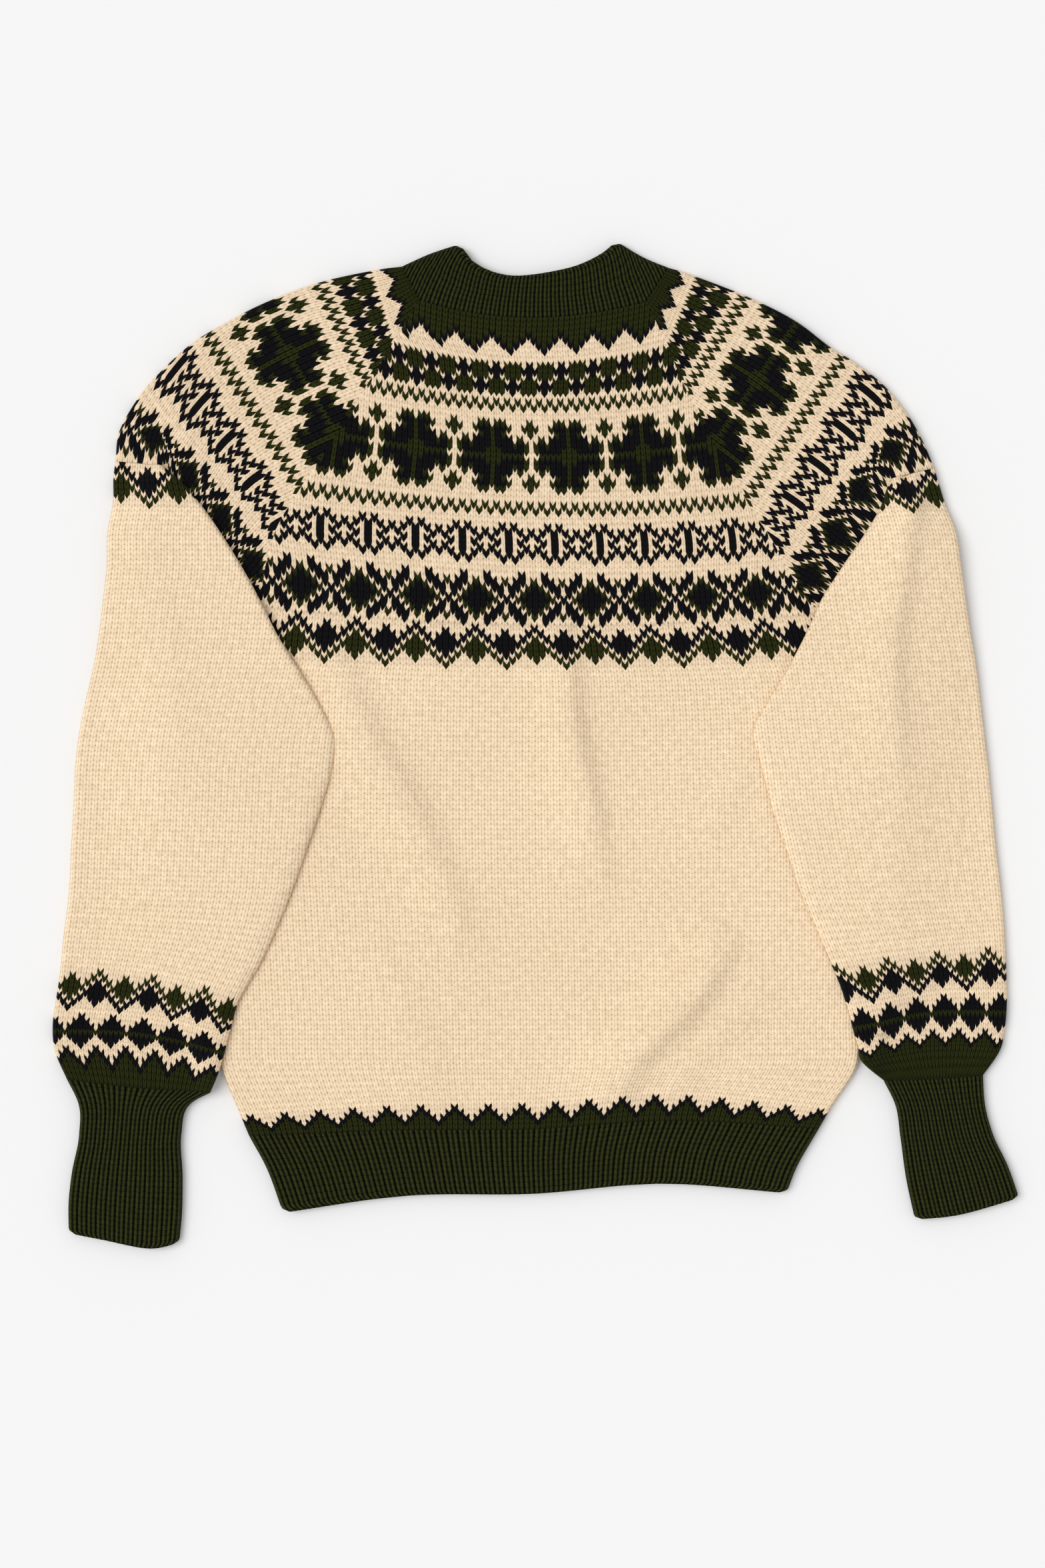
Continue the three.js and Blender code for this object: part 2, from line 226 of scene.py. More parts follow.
# Bands: first row, chart, stitch of a repeat's middle, and for the yoke the same over a sleeve
YOKE_BANDS = [
    (-3, ZIGZAG_DOWN, 3, 0),
    (3, BLOCKS, 3, 3),
    (14, STARS, 7, 0),
    (33, LATTICE, 4, 0),
    (42, DIAMONDS, 0, 0),
]
PEERIES = [10, 29]  # two rows of single stitches each
BODY_BANDS = [(0, POINTS, 0), (97, ZIGZAG_UP, 0)]
LEFT_BANDS = [(0, POINTS, 1), (102, POINTS[::-1], 2), (111, BEADS, 5), (118, ZIGZAG_UP, 5)]
RIGHT_BANDS = [(0, POINTS, 1), (97, POINTS[::-1], 8), (106, BEADS, 1), (113, ZIGZAG_UP, 1)]


def charted(bands, rows, columns, middle_at):
    """Colour of each stitch from the bands, cream elsewhere."""
    colours = np.zeros(np.broadcast(rows, columns).shape, int)
    rows, columns = np.broadcast_arrays(rows, columns)
    for band in bands:
        first, chart, middle = band[0], band[1], band[middle_at]
        half = len(chart[0]) - 1
        table = np.array([[LETTERS[letter] for letter in line] for line in chart])
        away = np.abs((columns - middle + half) % (2 * half) - half)
        inside = (rows >= first) & (rows < first + len(chart))
        colours[inside] = table[(rows - first)[inside], away[inside]]
        colours[inside & (colours == CREAM)] = STRANDED
    return colours


def yoke_colours(middle_at):
    """Green above the first zigzag, then the bands with peeries between them."""

    def colour(rows, columns):
        rows, columns = np.broadcast_arrays(rows, columns)
        colours = charted(YOKE_BANDS, rows, columns, middle_at)
        colours[rows < -3] = GREEN
        for first in PEERIES:
            colours[(rows == first) & (columns % 2 == 0)] = GREEN
            colours[(rows == first + 1) & (columns % 2 == 1)] = GREEN
        return np.where(colours == CREAM, STRANDED, colours)
    return colour


def body_colours(rows, columns):
    """A band under the yoke, cream, and a zigzag over the green hem."""
    colours = charted(BODY_BANDS, rows, columns, 2)
    colours[np.broadcast_to(rows, colours.shape) > 100] = GREEN
    return colours


def sleeve_colours(side):
    """A sleeve's bands, counted from its outer edge."""
    bands = LEFT_BANDS if side < 0 else RIGHT_BANDS

    def colour(rows, columns):
        from_outside = columns if side < 0 else -columns - 1
        colours = charted(bands, rows, from_outside, 2)
        colours[np.broadcast_to(rows, colours.shape) > bands[-1][0] + 3] = GREEN
        return colours
    return colour


def hermite(knots, values, at):
    """Smooth values through the knots, straight on beyond them."""
    knots, values, at = np.asarray(knots, float), np.asarray(values, float), np.asarray(at, float)
    slopes = np.gradient(values, knots, axis=0)
    i = np.clip(np.searchsorted(knots, at, side="right") - 1, 0, len(knots) - 2)
    shape = (-1,) + (1,) * (values.ndim - 1)
    step = (knots[i + 1] - knots[i]).reshape(shape)
    t = (at - knots[i]).reshape(shape) / step
    s = np.clip(t, 0, 1)
    a, b = values[i], values[i + 1]
    ma, mb = slopes[i] * step, slopes[i + 1] * step
    inside = (
        a * (2 * s**3 - 3 * s**2 + 1)
        + ma * (s**3 - 2 * s**2 + s)
        + b * (3 * s**2 - 2 * s**3)
        + mb * (s**3 - s**2)
    )
    return inside + np.where(t < 0, ma, mb) * (t - s)


def even(line, count, curved=True):
    """Points at even lengths along a line, smooth through its points or straight between them."""
    line = np.array(line, float)
    dense = line
    if curved and len(line) > 2:
        index = np.arange(len(line))
        dense = hermite(index, line, np.linspace(0, len(line) - 1, 24 * (len(line) - 1) + 1))
    length = np.concatenate([[0], np.cumsum(np.linalg.norm(np.diff(dense, axis=0), axis=1))])
    at = np.linspace(0, length[-1], count)
    return np.stack([np.interp(at, length, dense[:, k]) for k in (0, 1)], axis=1)


def bowed(a, middle, b):
    """A parabola from a to b through the middle, as a line."""
    a, middle, b = (np.array(p, float) for p in (a, middle, b))
    t = np.linspace(-1, 1, 49)[:, None]
    return middle + (b - a) / 2 * t + ((a + b) / 2 - middle) * t**2


class Plan:
    """Plan positions by share across, 0 to 1, and by row, from lines at some rows."""

    SAMPLES = 385
    STEP = 0.25

    def __init__(self, knots, lines, curved=True, rim=None):
        self.rim = rim  # the free edge's row, whose corners are rounded
        self.first = knots[0] - 1
        rows = np.arange(self.first, knots[-1] + 1.01, self.STEP)
        rings = np.array([even(line, self.SAMPLES, curved) for line in lines])
        self.grid = hermite(knots, rings, rows)
        self.lengths = np.linalg.norm(np.diff(self.grid, axis=1), axis=2).sum(axis=1)

    def width(self, row):
        """Laid width at some rows."""
        at = self.first + self.STEP * np.arange(len(self.lengths))
        return np.interp(row, at, self.lengths)

    def at(self, share, row):
        """Positions at shares across some rows."""
        if self.rim is not None:
            short = np.clip(CORNER - RIB_ROW * np.abs(row - self.rim), 0, CORNER)
            inset = (CORNER - np.sqrt(CORNER**2 - short**2)) / self.width(row)
            share = inset + share * (1 - 2 * inset)
        across = np.clip(share, 0, 1) * (self.SAMPLES - 1)
        down = np.clip((row - self.first) / self.STEP, 0, len(self.grid) - 1.001)
        i = np.minimum(across.astype(int), self.SAMPLES - 2)
        j = down.astype(int)
        a, d = (across - i)[..., None], (down - j)[..., None]
        upper = self.grid[j, i] * (1 - a) + self.grid[j, i + 1] * a
        lower = self.grid[j + 1, i] * (1 - a) + self.grid[j + 1, i + 1] * a
        return upper * (1 - d) + lower * d


def distance(line, x, y):
    """Distance from a line, how far to the left of its way a point is, -1 to 1, and share along."""
    line = np.array(line, float)
    least, left, along = np.full(x.shape, 1e9), np.zeros(x.shape), np.zeros(x.shape)
    for k, ((ax, ay), (bx, by)) in enumerate(zip(line[:-1], line[1:])):
        dx, dy = bx - ax, by - ay
        t = np.clip(((x - ax) * dx + (y - ay) * dy) / (dx * dx + dy * dy), 0, 1)
        away = np.hypot(x - ax - t * dx, y - ay - t * dy)
        side = (dx * (y - ay) - dy * (x - ax)) / np.hypot(dx, dy) / np.maximum(away, 1)
        left = np.where(away < least, side, left)
        along = np.where(away < least, (k + t) / (len(line) - 1), along)
        least = np.minimum(least, away)
    return least, left, along


def smoothstep(x, low, high):
    t = np.clip((x - low) / (high - low), 0, 1)
    return t * t * (3 - 2 * t)


def resting(below, side):
    """Height of a sleeve's underside: on the floor, or on the body inside the edge below it."""
    edge = np.array(below)[::-1]

    def height(x, y):
        inside = side * (np.interp(y, edge[:, 1], edge[:, 0]) - x) > 0
        gap = np.where(inside, 0, distance(edge, x, y)[0])
        down = np.clip((below[0][1] - y) / 50, 0, 1)  # 0 at the shoulder
        arm = np.clip((y + 200) / 60, 0, 1)  # 0 at the wrist
        full = 2.5 + (6.5 + 12 * arm) * down
        foot = 10 + (14 + 66 * arm) * down
        return OVER * (1 - smoothstep(gap, full, foot))

    return height


def on_floor(x, y):
    return np.zeros_like(x)


def constant(value):
    return lambda v: np.full(np.shape(v), float(value))


def soft(*names):
    """Height of the folds and of the cloth's slight unevenness."""
    folds = [fold for name in names for fold in FOLDS[name]]

    def height(x, y):
        total = UNEVEN * np.sin(x / 31 + y / 47) * np.sin(y / 37 - x / 59) + UNEVEN
        for high, half, line in folds:
            away, left, along = distance(even(line, 16), x, y)
            wide = half * (1.6 - 0.6 * left)  # steeper to the left of the line
            fade = np.clip(4 * along * (1 - along), 0, 1) ** 0.7
            total = total + high * fade * np.exp(-((away / wide) ** 2))
        return total

    return height


class Panel:
    """One stretch of a knitted tube between two side edges, upper and lower layer."""

    def __init__(
        self, plan, low, high, first, last, colour, rolled=(True, True), offset=0.5, rib=False,
        under_rows=None, floor=on_floor, soft=on_floor, relief=0.8, ends=(CREAM, CREAM),
        seams=(SEAM / 2, SEAM / 2), shift=None, middle=False, straight=(True, True), roll=None,
    ):
        self.plan, self.low, self.high = plan, low, high
        self.first, self.last, self.colour = first, last, colour
        self.rolled = rolled  # which side edges are rolled
        self.offset = offset  # of stitch edges from whole columns
        self.rib = rib
        self.under_rows = np.arange(first, last + 0.5) if under_rows is None else under_rows
        self.floor, self.soft = floor, soft
        self.relief = relief  # height of the strands
        self.ends = ends  # colours of the rims
        self.seams = seams
        self.shift = shift or constant(0)  # of the middle stitch to the right
        self.middle = middle  # column 0 halfway across
        self.straight = straight  # ends without the stitches' points
        edge = (ROLL, LAID / 2)
        self.roll = roll or (lambda v: (edge, edge))  # width and height of both rolled edges

    def spread(self, u, v):
        """How far stitch corners move, as dark stitches spread over the cream ones beside them."""
        column = np.floor(u - self.offset + 0.001).astype(int) + (1 if self.offset else 0)
        row = np.floor(v + 0.001).astype(int)
        left = np.where((u - self.offset) % 1 % 0.999 < 0.01, column - 1, column)
        above = np.where(v % 1 < 0.01, row - 1, row)
        inside = (v > self.first) & (v < self.last)
        share = np.array(SPREAD)
        dark = [[share[self.colour(r, c)] for c in (left, column)] for r in (above, row)]
        dark = np.array(dark) * inside
        aside = 0.05 * (dark[:, 0].sum(axis=0) - dark[:, 1].sum(axis=0))
        down = 0.06 * (dark[0].sum(axis=0) - dark[1].sum(axis=0))
        return aside, down

    def place(self, u, v, drop, aside=0):
        """Plan points, how far each is from the rolled edges, and which lie on a side edge."""
        first = u <= self.low(v) + TOUCH
        last = u >= self.high(v) - TOUCH
        straight = first | last | ((v <= self.first) & self.straight[0])
        straight = straight | ((v >= self.last) & self.straight[1])
        row = v + np.where(straight, 0, drop)
        low, high = self.low(row), self.high(row)
        at = np.clip(u + aside, low, high)
        if self.middle:
            share = np.where(at < 0, 0.5 - 0.5 * at / low, 0.5 + 0.5 * at / high)
        else:
            share = (at - low) / (high - low)
        share = share + self.shift(row) / self.plan.width(row) * (1 - (2 * share - 1) ** 2)
        share = np.where(first, 0, np.where(last, 1, share))
        row = row + np.where(v <= self.first, self.seams[0] / ROW, 0)
        row = row - np.where(v >= self.last, self.seams[1] / ROW, 0)
        return self.plan.at(share, row), share, first | last

    def rolled_edge(self, share, v):
        """Distance from the rolled edges, how full the tube is there, and the edge's own height."""
        width = self.plan.width(v)
        from_low = share * width if self.rolled[0] else share * 0 + FAR
        from_high = (1 - share) * width if self.rolled[1] else share * 0 + FAR
        edge = np.minimum(from_low, from_high)
        (low_reach, low_height), (high_reach, high_height) = self.roll(v)
        reach = np.where(from_low < from_high, low_reach, high_reach)
        height = np.where(from_low < from_high, low_height, high_height)
        return edge, np.sqrt(1 - (1 - np.clip(edge / reach, 0, 1)) ** 2), height

    def columns(self, step):
        """Columns at even steps that cover the panel's widest row."""
        rows = np.linspace(self.first, self.last, 60)
        start = np.floor(self.low(rows).min() - self.offset) + self.offset
        end = np.ceil(self.high(rows).max() - self.offset) + self.offset
        return np.arange(start, end + step / 2, step)

    def top(self):
        """The upper layer's outside, a V for each stitch: points, UVs, columns and rows."""
        step = 0.125 if self.rib else 0.25
        u, v = np.meshgrid(self.columns(step), np.arange(self.first, self.last + 0.25, 0.5))
        f = (u - self.offset) % 1  # place across the stitch
        f = np.where(f > 0.999, 0, f)
        form = RIB_FORM if self.rib else STITCH_FORM
        drop = (RIB_POINT if self.rib else STITCH_POINT) * (0.5 - np.abs(2 * f - 1))
        lift = np.interp(f, np.linspace(0, 1, len(form)), form)
        # Strands dip between one row's middle and the next
        middle = (v * 2).round().astype(int) % 2 == 1
        lift = lift * np.where(middle, 1, np.where(f < 0.5, 0.85, 0.5) if self.rib else 0.6)
        aside, down = self.spread(u, v) if self.colour else (0, 0)
        xy, share, outside = self.place(u, v, drop + down, aside)
        edge, roll, height = self.rolled_edge(share, v)
        lift = np.where(outside, 0, lift)
        x, y = xy[..., 0], xy[..., 1]
        z = self.floor(x, y) + height + (LAID - height) * roll
        z = z + self.soft(x, y) * np.minimum(roll, edge / 20)
        z = z + self.relief * (lift - 0.4) * np.clip(edge / 1.5, 0, 1)
        return np.dstack([x, y, z]), np.stack([u - self.offset, v], axis=-1), u, v

    def under(self):
        """The lower layer's outside, smooth, with a column or more for each stitch."""
        u, v = np.meshgrid(self.columns(0.25 if self.rib else 1), self.under_rows)
        xy, share, outside = self.place(u, v, 0)
        edge, roll, height = self.rolled_edge(share, v)
        x, y = xy[..., 0], xy[..., 1]
        z = self.floor(x, y) + height * (1 - roll)
        return np.dstack([x, y, z]), np.stack([u - self.offset, v], axis=-1), u, v

    def inside(self, upper, v, shares):
        """The inside of a layer, plain: points and UVs."""
        share, v = np.meshgrid(shares, v)
        width = self.plan.width(v)
        if self.rolled[0]:
            share = share + (1 - share) * (WALL / width) * (share < 0.5)
        if self.rolled[1]:
            share = share - share * (WALL / width) * (share > 0.5)
        row = v + np.where(v <= self.first, self.seams[0] / ROW, 0)
        row = row - np.where(v >= self.last, self.seams[1] / ROW, 0)
        xy = self.plan.at(share, row)
        x, y = xy[..., 0], xy[..., 1]
        low, high = self.low(v), self.high(v)
        edge = np.full(share.shape, FAR)
        if self.rolled[0]:
            edge = np.minimum(edge, share * width)
        if self.rolled[1]:
            edge = np.minimum(edge, (1 - share) * width)
        air = np.clip((edge - WALL) / 3, 0, 1) * (LAID / 2 - WALL)
        z = self.floor(x, y) + LAID / 2 + (air if upper else -air)
        if upper:
            z = z + self.soft(x, y) * np.clip((edge - WALL) / 20, 0, 1)
        column = low + share * (high - low) - self.offset
        return np.dstack([x, y, z]), np.stack([column, v], axis=-1)

    def face_colours(self, u, v, rib_light_and_shade=False):
        """Colour of each face of a grid of columns and rows."""
        middle_u, middle_v = (u[:-1, :-1] + u[1:, 1:]) / 2, (v[:-1, :-1] + v[1:, 1:]) / 2
        if self.rib:
            # Ribs' upper layer: painted light on the raised strands, painted shade in the purl
            # columns; lower layer plain green
            f = (middle_u - self.offset) % 1
            strand = np.abs(np.abs(f - 0.5) - 0.25) <= 0.15
            return np.where(strand, RIDGE_LIGHT, FURROW_SHADE) if rib_light_and_shade else GREEN
        column = np.floor(middle_u - self.offset + (1 if self.offset else 0)).astype(int)
        return self.colour(np.floor(middle_v).astype(int), column)


class Cloth:
    """Gathers the faces of one piece and welds them into one mesh."""

    def __init__(self, name):
        self.name = name
        self.points, self.uvs, self.faces, self.colours = [], [], [], []
        self.edges = []  # finely divided side edges
        self.count = 0

    def add(self, points, uv):
        """Keep a grid of points, and return their numbers."""
        shape = points.shape[:2]
        index = self.count + np.arange(shape[0] * shape[1]).reshape(shape)
        self.points.append(points.reshape(-1, 3))
        self.uvs.append(uv.reshape(-1, 2))
        self.count += index.size
        return index

    def quads(self, index, colours):
        """Faces over a grid of points."""
        a, b = index[:-1, :-1], index[1:, :-1]
        c, d = index[1:, 1:], index[:-1, 1:]
        self.faces.extend(np.stack([a, b, c, d], axis=-1).reshape(-1, 4).tolist())
        self.colours.extend(np.broadcast_to(colours, a.shape).reshape(-1).tolist())

    def bridge(self, outer, inner, colour):
        """Faces between two rows of points with different counts."""
        outer, inner = list(outer), list(inner)
        place = np.concatenate(self.points)[:, :2]

        def share_along(line):
            length = np.cumsum(np.linalg.norm(np.diff(place[line], axis=0), axis=1))
            return np.concatenate([[0], length]) / length[-1]

        a, b = share_along(outer), share_along(inner)
        stops = [int(np.argmin(np.abs(a - share))) for share in b]
        stops[0], stops[-1] = 0, len(outer) - 1
        for j in range(len(inner) - 1):
            stretch = outer[stops[j]:stops[j + 1] + 1]
            self.faces.append(stretch + [inner[j + 1], inner[j]])
            self.colours.append(colour)

    def panel(self, p, inner_rows=14, inner_columns=12):
        """Both layers of a panel, outside and inside, joined at their two ends."""
        grid, uv, u, v = p.top()
        index = self.add(grid, uv)
        self.quads(index, p.face_colours(u, v, rib_light_and_shade=True))
        self.edges += [index[:, 0], index[:, -1]]

        low_grid, low_uv, u, v = p.under()
        low_index = self.add(low_grid, low_uv)
        self.quads(low_index, p.face_colours(u, v))

        rows = np.linspace(p.first, p.last, inner_rows).round(1)
        shares = np.linspace(0, 1, inner_columns + 1)
        for upper, outer in ((True, index), (False, low_index)):
            inner = self.add(*p.inside(upper, rows, shares))
            self.quads(inner, GREEN if p.rib else CREAM)
            self.bridge(outer[0], inner[0], GREEN if p.rib else p.ends[0])
            self.bridge(outer[-1], inner[-1], GREEN if p.rib else p.ends[1])

    def build(self, material):
        """Weld points that meet, drop faces that closed up, and make the piece."""
        points, uvs = np.concatenate(self.points), np.concatenate(self.uvs)
        keys = (points * 50).round().astype(np.int64)
        _, first, weld = np.unique(keys, axis=0, return_index=True, return_inverse=True)
        weld = weld.reshape(-1)
        beside = [{int(weld[v]): k for k, v in enumerate(line)} for line in self.edges]
        near = set().union(*beside)

        def divided(face):
            """The face with an edge line's points on any side that runs along that line."""
            whole = []
            for a, b in zip(face, face[1:] + face[:1]):
                whole.append(a)
                for line, places in zip(self.edges, beside):
                    i, j = places.get(int(weld[a])), places.get(int(weld[b]))
                    if i is not None and j is not None and abs(i - j) > 1:
                        step = 1 if j > i else -1
                        whole += [int(v) for v in line[i + step:j:step]]
                        break
            return whole

        faces, colours, corners = [], [], []
        for face, colour in zip(self.faces, self.colours):
            kept = []
            if sum(int(weld[v]) in near for v in face) > 1:
                face = divided(face)
            for vertex in face:
                if not kept or weld[vertex] != weld[kept[-1]]:
                    kept.append(vertex)
            while len(kept) > 1 and weld[kept[0]] == weld[kept[-1]]:
                kept.pop()
            if len({int(weld[k]) for k in kept}) < max(3, len(kept)):
                continue
            faces.append([int(weld[k]) for k in kept])
            colours.append(colour)
            corners.extend(kept)
        mesh = bpy.data.meshes.new(self.name)
        mesh.from_pydata((points[first] * MM).tolist(), [], faces)
        mesh.validate()
        sizes = np.array([len(face) for face in faces])
        palette = np.array([colour + (1.0,) for colour in COLOURS])
        wool = mesh.color_attributes.new("wool", "FLOAT_COLOR", "CORNER")
        each = palette[np.repeat(np.array(colours), sizes)]
        wool.data.foreach_set("color", each.reshape(-1))
        layer = mesh.uv_layers.new(name="stitches")
        layer.data.foreach_set("uv", uvs[np.array(corners)].reshape(-1))
        mesh.polygons.foreach_set("use_smooth", np.ones(len(mesh.polygons), bool))
        edit = bmesh.new()
        edit.from_mesh(mesh)
        bmesh.ops.recalc_face_normals(edit, faces=edit.faces)
        edit.to_mesh(mesh)
        edit.free()
        piece = bpy.data.objects.new(self.name, mesh)
        bpy.context.scene.collection.objects.link(piece)
        mesh.materials.append(material)
        return piece


def linear(*srgb):
    """A screen colour, 0 to 255, as light."""
    c = np.array(srgb) / 255
    return tuple(float(x) for x in np.where(c <= 0.04045, c / 12.92, ((c + 0.055) / 1.055) ** 2.4))


COLOURS = [
    linear(247, 223, 190),  # cream
    linear(40, 44, 15),  # green
    linear(16, 16, 20),  # black
    linear(22, 25, 7),  # painted shade, purl columns of the ribs
    linear(239, 216, 185),  # stranded cream
    linear(48, 52, 21),  # painted light, raised strands of the ribs
]


def wool_material(name, mottle, ends):
    """Matt wool in the stitch's own colour, with painted shade where two strands meet and fine
    loose fibres.
    """
    material = bpy.data.materials.new(name)
    material.use_nodes = True
    nodes, links = material.node_tree.nodes, material.node_tree.links
    shader = nodes["Principled BSDF"]
    shader.inputs["Roughness"].default_value = 0.95
    shader.inputs["Specular IOR Level"].default_value = 0.03
    shader.inputs["Sheen Weight"].default_value = 0.03
    shader.inputs["Sheen Roughness"].default_value = 0.6

    def math(operation, first, second=0.0, third=0.0):
        node = nodes.new("ShaderNodeMath")
        node.operation = operation
        for socket, value in zip(node.inputs, (first, second, third)):
            if isinstance(value, (int, float)):
                socket.default_value = value
            else:
                links.new(value, socket)
        return node.outputs[0]

    def between(value, low, high, to_low, to_high, smooth=False):
        node = nodes.new("ShaderNodeMapRange")
        if smooth:
            node.interpolation_type = "SMOOTHSTEP"
        node.inputs["From Min"].default_value = low
        node.inputs["From Max"].default_value = high
        node.inputs["To Min"].default_value = to_low
        node.inputs["To Max"].default_value = to_high
        links.new(value, node.inputs["Value"])
        return node.outputs["Result"]

    # How near a point is to a strand's rim: each stitch has two strands, side by side
    stitches = nodes.new("ShaderNodeUVMap")
    stitches.uv_map = "stitches"
    parts = nodes.new("ShaderNodeSeparateXYZ")
    links.new(stitches.outputs["UV"], parts.inputs[0])
    from_middle = math("ABSOLUTE", math("SUBTRACT", math("FRACT", parts.outputs["X"]), 0.5))
    across = math("MULTIPLY_ADD", from_middle, 4, -1)
    staggered = math("FRACT", math("SUBTRACT", math("ADD", parts.outputs["Y"], 0.5), from_middle))
    along = math("ABSOLUTE", math("MULTIPLY_ADD", staggered, 2, -1))
    colour = nodes.new("ShaderNodeVertexColor")
    colour.layer_name = "wool"
    grey = nodes.new("ShaderNodeRGBToBW")
    links.new(colour.outputs["Color"], grey.inputs[0])
    where = nodes.new("ShaderNodeTexCoord")

    # In dark wool the groove between stitches is made deeper than the one between a stitch's
    # strands, in the bump and in the painted shade
    uneven = math(
        "MULTIPLY_ADD",
        between(from_middle, 0.2, 0.3, -1, 1), between(grey.outputs[0], 0.03, 0.5, 0.35, 0), 1,
    )
    groove = math("MULTIPLY", math("MULTIPLY", across, across), uneven)
    rim = math("MULTIPLY_ADD", math("POWER", along, 4), ends, groove)

    # In cream wool, painted shade darkens the small gap where four stitches meet
    row_end = math("ABSOLUTE", math("MULTIPLY_ADD", math("FRACT", parts.outputs["Y"]), 2, -1))
    hole_shade = math("MULTIPLY", between(from_middle, 0.22, 0.5, 0, 1), math("POWER", row_end, 2))
    hole_shade = math("MULTIPLY", hole_shade, between(grey.outputs[0], 0.03, 0.5, 0, 0.26))

    def noise(scale, detail):
        node = nodes.new("ShaderNodeTexNoise")
        node.inputs["Scale"].default_value = scale
        node.inputs["Detail"].default_value = detail
        links.new(where.outputs["Object"], node.inputs["Vector"])
        return node.outputs["Fac"]

    # Dark wool lets less light into its grooves than cream wool does
    grooves = between(rim, 0.3, 1.6, 1, 0.55, smooth=True)
    shade = math("POWER", grooves, math(
        "MINIMUM",
        between(grey.outputs[0], 0.012, 0.022, 5.5, 8),
        between(grey.outputs[0], 0.03, 0.5, 8, 1),
    ))
    shade = math("MULTIPLY", shade, math("SUBTRACT", 1, hole_shade))
    shade = math("MULTIPLY", shade, between(noise(260, 2), 0, 1, 1 - mottle, 1 + mottle))
    shade = math("MULTIPLY", shade, between(noise(9, 2), 0, 1, 0.95, 1.05))
    # Light that bounces between strands comes out warmer
    warm = nodes.new("ShaderNodeCombineXYZ")
    links.new(shade, warm.inputs[0])
    links.new(math("POWER", shade, 1.15), warm.inputs[1])
    links.new(math("POWER", shade, 1.4), warm.inputs[2])
    tint = nodes.new("ShaderNodeVectorMath")
    tint.operation = "MULTIPLY"
    links.new(colour.outputs["Color"], tint.inputs[0])
    links.new(warm.outputs[0], tint.inputs[1])
    links.new(tint.outputs[0], shader.inputs["Base Color"])
    strand = nodes.new("ShaderNodeBump")
    strand.inputs["Strength"].default_value = 0.7
    strand.inputs["Distance"].default_value = 0.0006
    links.new(between(rim, 0, 1.75, 1, 0), strand.inputs["Height"])
    fibre = nodes.new("ShaderNodeBump")
    fibre.inputs["Strength"].default_value = 0.5
    fibre.inputs["Distance"].default_value = 0.0004
    links.new(noise(900, 3), fibre.inputs["Height"])
    links.new(strand.outputs["Normal"], fibre.inputs["Normal"])
    links.new(fibre.outputs["Normal"], shader.inputs["Normal"])
    return material


def finish_piece(cloth, material):
    """Build a piece, hide the part it stands in for and hang it from the root."""
    piece = cloth.build(material)
    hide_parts(cloth.name.removesuffix("_knit"))
    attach(piece, "root")


PLAIN = wool_material("cream_wool", 0.2, 0.6)
PATTERNED = wool_material("patterned_wool", 0.25, 0.6)
RIBBED = wool_material("green_rib_wool", 0.4, 0.7)

# Yoke: a part over each sleeve and one in front. Each row down adds half a stitch at a corner
yoke_rows = [row[0] for row in YOKE]
yoke = Cloth("yoke_knit")
yoke.panel(Panel(
    Plan(yoke_rows, [[row[1], *row[2], row[3]] for row in YOKE], curved=False),
    lambda v: -np.interp(v, [27, 42], [24, 27]), lambda v: 0.5 * (v - 20.5),
    yoke_rows[0], yoke_rows[-1], yoke_colours(3),
    rolled=(True, False), soft=soft(*FOLDS), ends=(GREEN, CREAM),
    shift=lambda v: np.interp(v, [8, 14, 27, 36, 44, 51], [0, -4, -4, -4, -3, 0]),
))
yoke.panel(Panel(
    Plan(yoke_rows, [bowed(row[3], row[4], row[5]) for row in YOKE], curved=False),
    lambda v: -0.5 * (49.5 + v) * np.interp(v, [0, 3, 8, 34, 51], [0.86, 0.95, 1, 1, 0.965]),
    lambda v: 0.5 * (49.5 + v),
    yoke_rows[0], yoke_rows[-1], yoke_colours(2),
    rolled=(False, False), soft=soft(*FOLDS), ends=(GREEN, CREAM),
    shift=lambda v: np.interp(v, [-6, 0, 3, 10, 20, 36, 46, 51], [-2, -2, 0, 1, 4.6, 5.5, 3.5, 0]),
    middle=True, straight=(True, False),
))
yoke.panel(Panel(
    Plan(yoke_rows, [[row[5], *row[6][::-1], row[7]] for row in YOKE], curved=False),
    lambda v: -0.5 * (v - 20.5), constant(27),
    yoke_rows[0], yoke_rows[-1], yoke_colours(3),
    rolled=(False, True), soft=soft(*FOLDS), ends=(GREEN, CREAM),
))
finish_piece(yoke, PATTERNED)

# Body
body_lines = [bowed(*row[1:]) for row in BODY] + [even(ZIGZAG_TOP, 49), even(HEM_TOP, 49)]
body_plan = Plan([row[0] for row in BODY] + [95.7, 102], body_lines, curved=False)


def body_half(v):
    """Stitches from the middle to the right edge."""
    return 0.5 * np.interp(v, [0, 8, 40, 96, 102], [100.5, 108.5, 106, 105.5, 105])


# Its lower layer has every row in the bands and every other row between them
body = Cloth("body_knit")
body.panel(Panel(
    body_plan, lambda v: -body_half(v) * np.interp(v, [40, 96], [0.965, 1]), body_half,
    0, 102, body_colours, soft=soft("body"), shift=lambda v: np.interp(v, [50, 97], [0, 2.3]),
    under_rows=np.concatenate([np.arange(0, 9), np.arange(10, 97, 2), np.arange(97, 103)]),
    ends=(CREAM, GREEN), middle=True, straight=(False, True),
), inner_rows=22, inner_columns=24)
finish_piece(body, PLAIN)


# Sleeves
def sleeve_roll(side, last, v):
    """Rolled edges of a sleeve: below the elbow the inner fold lies flatter than the outer one."""
    flat = smoothstep(v, 48, 64) * np.clip((last - v) / 12, 0, 1)
    fold = (ROLL + 8 * flat, LAID / 2 - 2.2 * flat)
    outer = (ROLL, LAID / 2)
    return (outer, fold) if side < 0 else (fold, outer)


